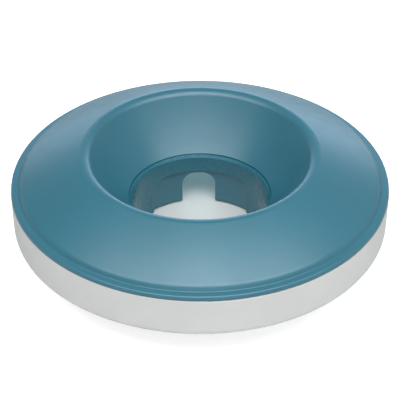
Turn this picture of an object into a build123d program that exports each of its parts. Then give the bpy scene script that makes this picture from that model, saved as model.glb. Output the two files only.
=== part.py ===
from build123d import *

import os
from math import cos, radians, sin, sqrt

# Rocking slow feeder bowl: a dish with a convex bottom, a doughnut-shaped cover with a funnel and
# a skirt round its throat, a ring in the throat that opens and shuts the skirt's arches, and a
# soft sole. Millimetres, +Z up, origin on the floor below the middle of the sole. Bearings are
# degrees about +Z, counted from +X. The side that faces -Y is the front.

# Base dish
base_radius = 115.1
base_wall = 2.5
base_draft = 1.1
seam_height = 47.0
rocking_radius = 320.0
heel_round = 6.0
rim_outer_round = 1.0
rim_inner_round = 0.5

# Soft sole under the base
sole_radius = 24.0
sole_flat_radius = 15.0
sole_recess = 1.2
sole_proud = 0.5
sole_gap = 0.1

# Cover, from its flange inwards. Crest rise and funnel drop are counted from the seam.
cover_inset = 0.2
cover_wall = 2.4
flange_thickness = 2.7
flange_width = 4.3
flange_round = 1.3
crease_lift = 0.6
crease_round = 0.8
step_width = 1.4
step_height = 2.6
shoulder_round = 6.5
dome_bulge = 1.0
crest_radius = 68.9
crest_rise = 25.8
crest_round = 5.5
funnel_dish = 1.0
funnel_drop = 8.4
rib_wall = 1.8
rib_depth = 5.0
rib_gap = 0.5

# Skirt round the throat, with its arches
throat_taper = 0.6
skirt_floor_gap = 1.4
arch_count = 3
arch_width = 20.7
arch_drop = 20.0
arch_round = 8.0
arch_bearing = 91.0

# Adjuster ring
ring_inner_radius = 41.6
ring_wall = 1.0
ring_gap = 0.2
ring_floor_gap = 0.3
ring_flange_width = 0.8
ring_flange_gap = 0.15
ring_lip_height = 0.5
ring_lip_round = 0.7
ring_edge_round = 0.3
window_angle = 90.0
window_drop = 18.4
window_round = 11.0
window_bearing = 90.0

# Stop of the ring: a lug on its wall that runs in a groove in the skirt
lug_bearing = 270.0
lug_angle = 6.0
lug_height = 2.0
lug_depth = 0.8
lug_gap = 0.3

# Places worked out from the sizes above
rocking_centre = sqrt((rocking_radius + sole_proud) ** 2 - sole_flat_radius**2)
base_bottom = rocking_centre - rocking_radius
floor_radius = rocking_radius - base_wall
heel_radius = base_radius - base_draft
heel_height = rocking_centre - sqrt(rocking_radius**2 - heel_radius**2)
cover_radius = base_radius - cover_inset
flange_height = seam_height + flange_thickness
crease_radius = cover_radius - flange_width
crease_height = flange_height + crease_lift
flange_inner_radius = crease_radius - cover_wall
shoulder_radius = crease_radius - step_width
shoulder_height = crease_height + step_height
crest_height = seam_height + crest_rise
funnel_foot = seam_height - funnel_drop
rib_outer_radius = base_radius - base_wall - rib_gap
rib_inner_radius = rib_outer_radius - rib_wall
ring_outer_radius = ring_inner_radius + ring_wall
ring_flange_radius = ring_outer_radius + ring_flange_width
ring_seat = funnel_foot - ring_lip_height
skirt_radius = ring_outer_radius + ring_gap
pocket_radius = ring_flange_radius + ring_flange_gap
ring_turn = 180 / arch_count + arch_bearing - window_bearing


os.makedirs("parts", exist_ok=True)


def funnel_height(radius):
    """Height of the straight line from the funnel's foot to its crest, at a radius."""
    share = (radius - ring_inner_radius) / (crest_radius - ring_inner_radius)
    return funnel_foot + share * (crest_height - funnel_foot)


def section_plane(bearing):
    """Upright plane through the axis, with its x along a bearing and its y up."""
    angle = radians(bearing)
    return Plane((0, 0, 0), x_dir=(cos(angle), sin(angle), 0), z_dir=(sin(angle), -cos(angle), 0))


def outward_plane(bearing):
    """Upright plane through the axis that faces along a bearing, with its y up."""
    angle = radians(bearing)
    return Plane((0, 0, 0), x_dir=(-sin(angle), cos(angle), 0), z_dir=(cos(angle), sin(angle), 0))


def corner(sketch, x, y):
    """The corner of a section that lies nearest to a point."""
    return sketch.vertices().sort_by_distance((x, y))[0]


# Base: one even wall from the middle of the convex bottom up to the rim
with BuildPart() as base:
    with BuildSketch(section_plane(0)) as base_section:
        with BuildLine() as base_skin:
            bottom = RadiusArc((0, base_bottom), (heel_radius, heel_height), -rocking_radius)
            Line(bottom @ 1, (base_radius, seam_height))
            fillet(corner(base_skin, heel_radius, heel_height), heel_round)
            offset(amount=base_wall, side=Side.LEFT)
        make_face()
    revolve(axis=Axis.Z)
    split(bisect_by=Plane.XY.offset(seam_height), keep=Keep.BOTTOM)
    rim = base.faces().sort_by(Axis.Z)[-1]
    fillet(rim.edges().sort_by(SortBy.RADIUS)[-1], rim_outer_round)
    rim = base.faces().sort_by(Axis.Z)[-1]
    fillet(rim.edges().sort_by(SortBy.RADIUS)[0], rim_inner_round)
    with Locations((0, 0, base_bottom + sole_recess)):
        Cylinder(
            sole_radius + sole_gap,
            sole_recess + sole_proud,
            align=(Align.CENTER, Align.CENTER, Align.MAX),
            mode=Mode.SUBTRACT,
        )
base.part.label = "base"
export_step(base.part, "parts/base.step")

# Sole: a disc that fills the recess, goes on with the base's curve a little further out, and is
# cut flat where the bowl stands at rest
with BuildPart() as sole:
    Cylinder(
        sole_radius,
        base_bottom + sole_recess,
        align=(Align.CENTER, Align.CENTER, Align.MIN),
    )
    with Locations((0, 0, rocking_centre)):
        Sphere(rocking_radius + sole_proud, mode=Mode.INTERSECT)
sole.part.label = "non_slip_sole"
export_step(sole.part, "parts/non_slip_sole.step")

# Cover: one even wall from the crease of its flange over the dome and the crest, down the funnel
# and the skirt, with the flange and a locating rib at its outer edge
with BuildPart() as cover:
    with BuildSketch(section_plane(0)) as cover_section:
        with BuildLine() as cover_skin:
            skirt = Line(
                (skirt_radius - throat_taper, base_bottom),
                (skirt_radius, funnel_height(skirt_radius)),
            )
            funnel = SagittaArc(skirt @ 1, (crest_radius, crest_height), -funnel_dish)
            dome = SagittaArc(funnel @ 1, (shoulder_radius, shoulder_height), dome_bulge)
            Line(dome @ 1, (crease_radius, crease_height))
            fillet(corner(cover_skin, crest_radius, crest_height), crest_round)
            fillet(corner(cover_skin, shoulder_radius, shoulder_height), shoulder_round)
            offset(amount=cover_wall, side=Side.RIGHT)
        make_face()
        with BuildLine():
            Polyline(
                (flange_inner_radius, seam_height),
                (cover_radius, seam_height),
                (cover_radius, flange_height),
                (crease_radius, crease_height),
                (flange_inner_radius, crease_height),
                close=True,
            )
        make_face()
        with Locations((rib_inner_radius, flange_height)):
            Rectangle(rib_wall, flange_thickness + rib_depth, align=(Align.MIN, Align.MAX))
        with Locations((skirt_radius - throat_taper, ring_seat)):
            Rectangle(
                pocket_radius - skirt_radius + throat_taper,
                funnel_height(pocket_radius) - ring_seat + cover_wall,
                align=(Align.MIN, Align.MIN),
                mode=Mode.SUBTRACT,
            )
        fillet(corner(cover_section, cover_radius, flange_height), flange_round)
        fillet(corner(cover_section, crease_radius, crease_height), crease_round)
    revolve(axis=Axis.Z)
    with Locations((0, 0, rocking_centre)):
        Sphere(floor_radius - skirt_floor_gap, mode=Mode.INTERSECT)
    for index in range(arch_count):
        with BuildSketch(outward_plane(arch_bearing + index * 360 / arch_count)) as arch:
            Rectangle(arch_width, seam_height - arch_drop, align=(Align.CENTER, Align.MIN))
            fillet(arch.vertices().group_by(Axis.Y)[-1], arch_round)
        extrude(amount=pocket_radius + cover_wall, mode=Mode.SUBTRACT)
    with BuildSketch(section_plane(lug_bearing - lug_angle / 2)):
        with Locations((skirt_radius - throat_taper, ring_seat)):
            Rectangle(
                lug_depth + throat_taper + lug_gap,
                lug_height + lug_gap,
                align=(Align.MIN, Align.MAX),
            )
    revolve(axis=Axis.Z, revolution_arc=lug_angle + ring_turn, mode=Mode.SUBTRACT)
cover.part.label = "cover"
export_step(cover.part, "parts/cover.step")

# Space of one window: a wedge from the axis outwards, with rounded upper corners
with BuildPart() as window:
    with BuildSketch(section_plane(-window_angle / 2)):
        with Locations((ring_inner_radius / 2, 0)):
            Rectangle(ring_flange_radius, seam_height - window_drop, align=(Align.MIN, Align.MIN))
    revolve(axis=Axis.Z, revolution_arc=window_angle)
    window_top = window.faces().sort_by(Axis.Z)[-1]
    fillet(window_top.edges().filter_by(GeomType.LINE), window_round)

# Adjuster ring: a band on a narrow flange, with windows that are open at the foot between legs
with BuildPart() as ring:
    with BuildSketch(section_plane(window_bearing)) as ring_section:
        with BuildLine():
            Polyline(
                (ring_inner_radius - throat_taper, base_bottom),
                (ring_outer_radius - throat_taper, base_bottom),
                (ring_outer_radius, ring_seat),
                (ring_flange_radius, ring_seat),
                (ring_flange_radius, funnel_height(ring_flange_radius)),
                (ring_inner_radius, funnel_foot),
                close=True,
            )
        make_face()
        fillet(corner(ring_section, ring_inner_radius, funnel_foot), ring_lip_round)
        fillet(
            corner(ring_section, ring_flange_radius, funnel_height(ring_flange_radius)),
            ring_edge_round,
        )
    revolve(axis=Axis.Z)
    with Locations((0, 0, rocking_centre)):
        Sphere(floor_radius - ring_floor_gap, mode=Mode.INTERSECT)
    for index in range(arch_count):
        add(
            window.part,
            rotation=(0, 0, window_bearing + index * 360 / arch_count),
            mode=Mode.SUBTRACT,
        )
    with BuildSketch(section_plane(lug_bearing - lug_angle / 2)):
        with Locations((ring_outer_radius - ring_wall / 2, ring_seat)):
            Rectangle(lug_depth + ring_wall / 2, lug_height, align=(Align.MIN, Align.MAX))
    revolve(axis=Axis.Z, revolution_arc=lug_angle)
ring.part.label = "adjuster_ring"
export_step(ring.part, "parts/adjuster_ring.step")
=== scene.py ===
import math

import bpy
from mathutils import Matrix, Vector

# Rocking slow feeder bowl: finishes for its four pieces, soft studio light, a pale floor and a
# camera at the photograph's angle. Each piece keeps its own solid. Lengths are metres, angles are
# degrees and colours are linear.

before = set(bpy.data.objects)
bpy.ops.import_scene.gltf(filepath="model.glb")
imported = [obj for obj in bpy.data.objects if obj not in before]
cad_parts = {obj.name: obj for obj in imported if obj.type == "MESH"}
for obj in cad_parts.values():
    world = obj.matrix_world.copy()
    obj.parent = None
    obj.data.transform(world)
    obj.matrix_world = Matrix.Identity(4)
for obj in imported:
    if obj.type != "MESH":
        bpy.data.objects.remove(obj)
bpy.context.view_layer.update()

# Camera, fitted to the photograph. It looks at a point on the bowl's axis, and its lens and sensor
# are in millimetres.
CAMERA_ELEVATION = 35.49
CAMERA_DISTANCE = 1.436
CAMERA_LENS = 211.1
SENSOR_WIDTH = 36.0
AIM_HEIGHT = 0.0360

# Colours of the pieces
TEAL = (0.024, 0.146, 0.204)
RING_TEAL = (0.015, 0.142, 0.196)
PALE_GREY = (0.612, 0.612, 0.594)
SOLE_GREY = (0.045, 0.047, 0.048)

# Surface detail. A scale is the number of features to a metre. The tone drifts by a share of
# itself either way, and the roughness by an amount either way.
NOISE_LOW = 0.3
NOISE_HIGH = 0.7
TONE_SCALE = 28.0
TONE_DETAIL = 3.0
TONE_DRIFT = 0.03
GLOSS_SCALE = 160.0
GLOSS_DETAIL = 4.0
GLOSS_DRIFT = 0.03
PLASTIC_GRAIN_SCALE = 2200.0
RUBBER_GRAIN_SCALE = 1400.0
GRAIN_DETAIL = 3.0
GRAIN_DEPTH = 0.00005

# Lamps round the bowl. Powers are watts.
LIGHT_DISTANCE = 1.4
WHITE = (1.0, 1.0, 1.0)
NEAR_WHITE = (0.96, 1.0, 1.0)
COOL = (0.90, 0.96, 1.0)
COLD = (0.60, 0.77, 1.0)

# Ring of weak lamps under the dome
GLOW_LAMPS = 6
GLOW_BEARING = 90
GLOW_RADIUS = 0.08
GLOW_HEIGHT = 0.05
GLOW_SIZE = 0.05
GLOW_POWER = 0.008
GLOW_TINT = (0.50, 0.87, 1.0)

# World. The white backdrop that gloss sees fades out at this height of a direction of length 1.
FILL_LEFT = 0.20
FILL_RIGHT = 0.42
BACKDROP_TOP = 0.25

# Floor. It lies just under the sole's flat face. For the camera it glows less near the bowl, which is
# a painted shade laid over the real shadow there, and rises to plain white further out.
FLOOR_RADIUS = 3.0
FLOOR_SIDES = 96
FLOOR_GAP = 0.0002
FLOOR_TONE = 0.92
FLOOR_TONE_IN_GLOSS = 0.5
FLOOR_ROUGHNESS = 0.9
FLOOR_GLOW_IN_PAINTED_SHADE = 0.62
PAINTED_SHADE_RADIUS = 0.2
WHITE_RADIUS = 0.9


def new_material(name):
    """Material with only a Principled shader, with its nodes and that shader."""
    material = bpy.data.materials.new(name)
    material.use_nodes = True
    tree = material.node_tree
    tree.nodes.clear()
    output = tree.nodes.new("ShaderNodeOutputMaterial")
    shader = tree.nodes.new("ShaderNodeBsdfPrincipled")
    tree.links.new(shader.outputs["BSDF"], output.inputs["Surface"])
    return material, tree, shader


def noise(tree, scale, detail):
    """Solid noise in the object's own coordinates."""
    place = tree.nodes.new("ShaderNodeTexCoord")
    texture = tree.nodes.new("ShaderNodeTexNoise")
    texture.inputs["Scale"].default_value = scale
    texture.inputs["Detail"].default_value = detail
    tree.links.new(place.outputs["Object"], texture.inputs["Vector"])
    return texture.outputs["Fac"]


def ramp(tree, value, from_low, from_high, to_low, to_high):
    """A value taken from one range to another, and held at its ends."""
    node = tree.nodes.new("ShaderNodeMapRange")
    node.inputs["From Min"].default_value = from_low
    node.inputs["From Max"].default_value = from_high
    node.inputs["To Min"].default_value = to_low
    node.inputs["To Max"].default_value = to_high
    tree.links.new(value, node.inputs["Value"])
    return node.outputs["Result"]


def combine(tree, operation, first, second):
    """The result of one operation on two values."""
    node = tree.nodes.new("ShaderNodeMath")
    node.operation = operation
    tree.links.new(first, node.inputs[0])
    tree.links.new(second, node.inputs[1])
    return node.outputs["Value"]


def moulded_finish(name, colour, roughness, grain, grain_scale=PLASTIC_GRAIN_SCALE, shine=0.5):
    """Moulded surface with a fine spark-eroded grain, a slow drift of tone and uneven gloss."""
    material, tree, shader = new_material(name)
    mix = tree.nodes.new("ShaderNodeMix")
    mix.data_type = "RGBA"
    mix.inputs["A"].default_value = (*[c * (1 - TONE_DRIFT) for c in colour], 1)
    mix.inputs["B"].default_value = (*[c * (1 + TONE_DRIFT) for c in colour], 1)
    tone = noise(tree, TONE_SCALE, TONE_DETAIL)
    tree.links.new(ramp(tree, tone, NOISE_LOW, NOISE_HIGH, 0.0, 1.0), mix.inputs["Factor"])
    tree.links.new(mix.outputs["Result"], shader.inputs["Base Color"])
    gloss = noise(tree, GLOSS_SCALE, GLOSS_DETAIL)
    smooth = roughness - GLOSS_DRIFT
    rough = roughness + GLOSS_DRIFT
    tree.links.new(ramp(tree, gloss, NOISE_LOW, NOISE_HIGH, smooth, rough), shader.inputs["Roughness"])
    shader.inputs["Specular IOR Level"].default_value = shine
    bump = tree.nodes.new("ShaderNodeBump")
    bump.inputs["Strength"].default_value = grain
    bump.inputs["Distance"].default_value = GRAIN_DEPTH
    tree.links.new(noise(tree, grain_scale, GRAIN_DETAIL), bump.inputs["Height"])
    tree.links.new(bump.outputs["Normal"], shader.inputs["Normal"])
    return material


def dress_pieces():
    """Give each piece its finish. The ring is smoother than the cover, and the sole is rubber."""
    finishes = {
        "base": moulded_finish("pale_plastic", PALE_GREY, roughness=0.45, grain=0.35),
        "cover": moulded_finish("teal_plastic", TEAL, roughness=0.37, grain=0.3, shine=0.8),
        "adjuster_ring": moulded_finish(
            "teal_ring_plastic", RING_TEAL, roughness=0.28, grain=0.2, shine=0.6
        ),
        "non_slip_sole": moulded_finish(
            "sole_rubber", SOLE_GREY, roughness=0.7, grain=0.8, grain_scale=RUBBER_GRAIN_SCALE
        ),
    }
    for node, material in finishes.items():
        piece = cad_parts[node]
        piece.data.materials.clear()
        piece.data.materials.append(material)


def outward(elevation, azimuth):
    """Direction away from the origin. Azimuth 0 is the front, and 90 degrees is the right."""
    up = math.radians(elevation)
    turn = math.radians(azimuth)
    return Vector((math.cos(up) * math.sin(turn), -math.cos(up) * math.cos(turn), math.sin(up)))


def area_lamp(name, width, height, power, tint):
    """Round or oval lamp at the origin, facing down."""
    light = bpy.data.lights.new(name, "AREA")
    light.shape = "ELLIPSE"
    light.size = width
    light.size_y = height
    light.energy = power
    light.color = tint
    lamp = bpy.data.objects.new(name, light)
    bpy.context.scene.collection.objects.link(lamp)
    return lamp


def softbox(name, elevation, azimuth, width, power, tint=WHITE, height=None):
    """Softbox that faces the origin. It is round unless it has a height of its own."""
    away = outward(elevation, azimuth)
    lamp = area_lamp(name, width, height or width, power, tint)
    lamp.location = away * LIGHT_DISTANCE
    lamp.rotation_mode = "QUATERNION"
    lamp.rotation_quaternion = away.to_track_quat("Z", "Y")


def light_studio():
    """Broad soft light from above and the sides, with weak cold light from behind."""
    softbox("key_softbox", 60, 0, width=1.4, power=6.6, tint=NEAR_WHITE, height=0.5)
    softbox("overhead_softbox", 76, 0, width=0.6, power=4.4, tint=COOL)
    softbox("front_softbox", 18, 0, width=0.9, power=1.4)
    softbox("right_softbox", 58, 65, width=0.8, power=5.8, tint=COOL)
    softbox("left_softbox", 58, -65, width=0.8, power=4.5)
    softbox("back_softbox", 11, 180, width=0.6, power=2.5, tint=COLD)
    softbox("back_right_softbox", 11, 158, width=0.6, power=1.8, tint=COLD)
    softbox("back_left_softbox", 11, -158, width=0.6, power=1.2, tint=COLD)


def light_inside():
    """Weak lamps under the dome, for the light that comes through the cover's thin wall."""
    for index in range(GLOW_LAMPS):
        bearing = math.radians(GLOW_BEARING + index * 360 / GLOW_LAMPS)
        across = GLOW_RADIUS * math.cos(bearing)
        along = GLOW_RADIUS * math.sin(bearing)
        lamp = area_lamp(f"inner_glow_{index}", GLOW_SIZE, GLOW_SIZE, GLOW_POWER, GLOW_TINT)
        lamp.location = (across, along, GLOW_HEIGHT)
        lamp.visible_camera = False


def make_world():
    """Fill that grows from left to right, and white for the camera and, low down, for gloss."""
    world = bpy.data.worlds.new("studio")
    bpy.context.scene.world = world
    world.use_nodes = True
    tree = world.node_tree
    tree.nodes.clear()
    output = tree.nodes.new("ShaderNodeOutputWorld")
    background = tree.nodes.new("ShaderNodeBackground")
    background.inputs["Color"].default_value = (1, 1, 1, 1)
    direction = tree.nodes.new("ShaderNodeTexCoord")
    split = tree.nodes.new("ShaderNodeSeparateXYZ")
    tree.links.new(direction.outputs["Generated"], split.inputs["Vector"])
    rays = tree.nodes.new("ShaderNodeLightPath").outputs
    fill = ramp(tree, split.outputs["X"], -1.0, 1.0, FILL_LEFT, FILL_RIGHT)
    backdrop = ramp(tree, split.outputs["Z"], 0.0, BACKDROP_TOP, 1.0, 0.0)
    mirrored = combine(tree, "MULTIPLY", rays["Is Glossy Ray"], backdrop)
    seen = combine(tree, "MAXIMUM", rays["Is Camera Ray"], rays["Is Transmission Ray"])
    white = combine(tree, "MAXIMUM", seen, mirrored)
    level = combine(tree, "MAXIMUM", fill, white)
    tree.links.new(level, background.inputs["Strength"])
    tree.links.new(background.outputs["Background"], output.inputs["Surface"])


def lay_floor():
    """Pale disc that keeps the bowl's shadow, with a painted shade round the bowl where it glows less
    for the camera.
    """
    bpy.ops.mesh.primitive_circle_add(vertices=FLOOR_SIDES, radius=FLOOR_RADIUS, fill_type="NGON")
    floor = bpy.context.object
    floor.name = "floor"
    floor.location.z = -FLOOR_GAP
    material, tree, shader = new_material("floor")
    shader.inputs["Roughness"].default_value = FLOOR_ROUGHNESS
    shader.inputs["Emission Color"].default_value = (1, 1, 1, 1)
    rays = tree.nodes.new("ShaderNodeLightPath").outputs
    tone = ramp(tree, rays["Is Glossy Ray"], 0.0, 1.0, FLOOR_TONE, FLOOR_TONE_IN_GLOSS)
    tree.links.new(tone, shader.inputs["Base Color"])
    place = tree.nodes.new("ShaderNodeTexCoord")
    distance = tree.nodes.new("ShaderNodeVectorMath")
    distance.operation = "LENGTH"
    tree.links.new(place.outputs["Object"], distance.inputs[0])
    # Painted shade: the camera sees the floor glow less near the bowl, and the glow rises to plain
    # white further out.
    glow = ramp(tree, distance.outputs["Value"], PAINTED_SHADE_RADIUS, WHITE_RADIUS, FLOOR_GLOW_IN_PAINTED_SHADE, 1.0)
    seen = combine(tree, "MULTIPLY", rays["Is Camera Ray"], glow)
    tree.links.new(seen, shader.inputs["Emission Strength"])
    floor.data.materials.append(material)


def place_camera():
    """Camera at the front, at the photograph's viewing angle."""
    camera = bpy.data.objects.new("camera", bpy.data.cameras.new("camera"))
    bpy.context.scene.collection.objects.link(camera)
    bpy.context.scene.camera = camera
    camera.data.sensor_width = SENSOR_WIDTH
    camera.data.lens = CAMERA_LENS
    back = outward(CAMERA_ELEVATION, 0)
    camera.location = Vector((0, 0, AIM_HEIGHT)) + back * CAMERA_DISTANCE
    camera.rotation_mode = "QUATERNION"
    camera.rotation_quaternion = (-back).to_track_quat("-Z", "Y")


dress_pieces()
light_studio()
light_inside()
make_world()
lay_floor()
place_camera()
bpy.context.scene.view_settings.view_transform = "Standard"
